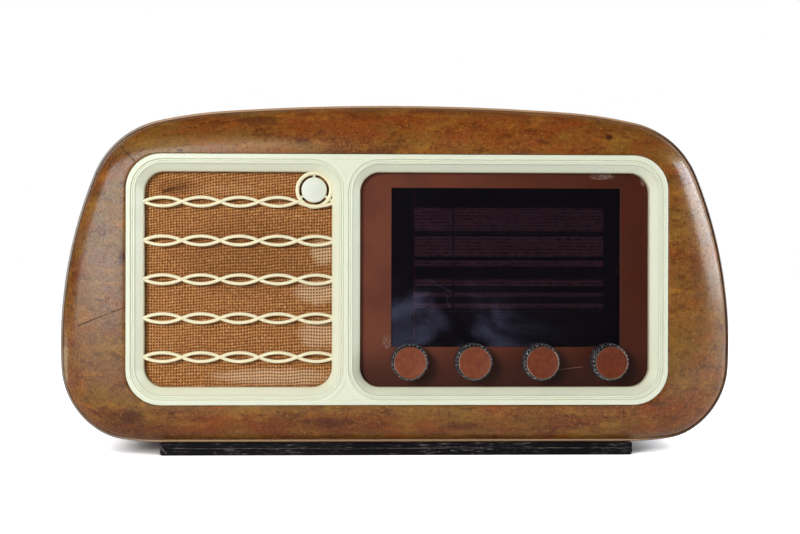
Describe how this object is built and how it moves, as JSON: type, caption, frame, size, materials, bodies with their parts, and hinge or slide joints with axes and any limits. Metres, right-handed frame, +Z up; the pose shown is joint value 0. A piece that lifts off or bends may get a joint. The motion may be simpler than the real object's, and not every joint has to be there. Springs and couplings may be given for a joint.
{
  "type": "radio receiver",
  "caption": "Table radio with a bent walnut cabinet, cream double-window escutcheon, wave grille, dark dial and fluted knobs over a full chassis.",
  "frame": {"origin": "middle of the bounding box, on the surface that the runners stand on", "axes": "+X to the user's right seen from the front, -Y out of the front, +Z up"},
  "size_m": [0.5792, 0.2302, 0.302],
  "materials": {
    "walnut_veneer": "varnished veneer",
    "surround_wood": "varnished",
    "stained_wood": "dark stain",
    "plain_wood": "bare",
    "plywood": "bare",
    "fibreboard": "pressed",
    "cream_plastic": "moulded, aged",
    "grille_cloth": "coarse weave",
    "panel_paint": "eggshell",
    "dial_glass": "dark, polished",
    "scale_paint": "matt",
    "bright_steel": "plain",
    "plated_steel": "zinc plated",
    "brass_parts": "plain",
    "lamp_glass": "clear",
    "pointer_paint": "satin",
    "cord": "braided",
    "drum_plastic": "moulded",
    "vane_aluminium": "plain",
    "can_aluminium": "drawn",
    "core_iron": "lacquered laminations",
    "winding_paper": "varnished",
    "bakelite": "moulded",
    "valve_glass": "silvered inside the tip",
    "paxolin": "laminated",
    "knob_plastic": "moulded",
    "knob_face": "moulded",
    "basket_steel": "grey paint",
    "magnet_iron": "bare",
    "cone_paper": "pressed pulp",
    "rubber": "plain"
  },
  "bodies": {
    "cabinet": {"cabinet_shell": "walnut_veneer", "front_surround": "surround_wood", "front_runner": "stained_wood", "rear_runner": "stained_wood", "back_battens": "plain_wood", "back_cover": "fibreboard", "back_screws": "plated_steel", "escutcheon": "cream_plastic", "grille_cloth": "grille_cloth", "baffle_board": "plywood", "dial_panel": "panel_paint", "dial_glass": "dial_glass", "scale_plate": "scale_paint", "scale_spacers": "plated_steel", "pointer_rail": "bright_steel", "lamp_holders": "brass_parts", "dial_lamps": "lamp_glass", "drive_cord": "cord", "capacitor_stator": "vane_aluminium", "capacitor_frame": "plated_steel", "chassis": "plated_steel", "chassis_bearers": "plain_wood", "chassis_bolts": "plated_steel", "power_transformer_core": "core_iron", "power_transformer_coil": "winding_paper", "valve_sockets": "paxolin", "valve_bases": "bakelite", "valve_envelopes": "valve_glass", "if_cans": "can_aluminium", "filter_capacitor": "can_aluminium", "volume_potentiometer": "plated_steel", "tone_potentiometer": "plated_steel", "band_switch": "paxolin", "tuning_bush": "brass_parts", "control_nuts": "plated_steel", "speaker_basket": "basket_steel", "speaker_magnet": "magnet_iron", "speaker_screws": "plated_steel", "output_transformer": "core_iron", "aerial_sockets": "paxolin", "mains_grommet": "rubber"},
    "volume_control": {"volume_knob": "knob_plastic", "volume_face": "knob_face", "volume_shaft": "bright_steel"},
    "tone_control": {"tone_knob": "knob_plastic", "tone_face": "knob_face", "tone_shaft": "bright_steel"},
    "band_control": {"band_knob": "knob_plastic", "band_face": "knob_face", "band_shaft": "bright_steel"},
    "tuning_control": {"tuning_knob": "knob_plastic", "tuning_face": "knob_face", "tuning_shaft": "bright_steel"},
    "tuning_rotor": {"capacitor_rotor": "vane_aluminium", "drive_drum": "drum_plastic"},
    "pointer": {"dial_pointer": "pointer_paint"},
    "left_wheel": {"left_pulley": "brass_parts"},
    "right_wheel": {"right_pulley": "brass_parts"},
    "cone": {"speaker_cone": "cone_paper"}
  },
  "joints": [
    {"name": "volume_turn", "type": "hinge", "parent": "cabinet", "child": "volume_control", "pos_m": [0.0098, 0, 0.0815], "axis": [0, 1, 0], "range_deg": [0, 270]},
    {"name": "tone_turn", "type": "hinge", "parent": "cabinet", "child": "tone_control", "pos_m": [0.0645, 0, 0.0815], "axis": [0, 1, 0], "range_deg": [0, 270]},
    {"name": "band_turn", "type": "hinge", "parent": "cabinet", "child": "band_control", "pos_m": [0.1221, 0, 0.0815], "axis": [0, 1, 0], "range_deg": [0, 90]},
    {"name": "tuning_turn", "type": "hinge", "parent": "cabinet", "child": "tuning_control", "pos_m": [0.1809, 0, 0.0815], "axis": [0, 1, 0], "range_deg": [0, 2251]},
    {"name": "rotor_turn", "type": "hinge", "parent": "cabinet", "child": "tuning_rotor", "pos_m": [0.0933, 0, 0.142], "axis": [0, 1, 0], "range_deg": [0, 180]},
    {"name": "pointer_slide", "type": "slide", "parent": "cabinet", "child": "pointer", "axis": [1, 0, 0], "range_m": [0, 0.1571]},
    {"name": "left_wheel_turn", "type": "hinge", "parent": "cabinet", "child": "left_wheel", "pos_m": [-0.0165, 0, 0.24], "axis": [0, 1, 0], "range_deg": [0, 1801]},
    {"name": "right_wheel_turn", "type": "hinge", "parent": "cabinet", "child": "right_wheel", "pos_m": [0.2035, 0, 0.24], "axis": [0, 1, 0], "range_deg": [0, 1801]},
    {"name": "cone_stroke", "type": "slide", "parent": "cabinet", "child": "cone", "axis": [0, 1, 0], "range_m": [-0.001, 0.001], "stiffness_N_per_m": 800}
  ],
  "couplings": [
    {"joint": "tuning_turn", "follows": "rotor_turn", "ratio": 12.5},
    {"joint": "pointer_slide", "follows": "rotor_turn", "m_per_rad": 0.05},
    {"joint": "left_wheel_turn", "follows": "rotor_turn", "ratio": 10},
    {"joint": "right_wheel_turn", "follows": "rotor_turn", "ratio": 10}
  ]
}
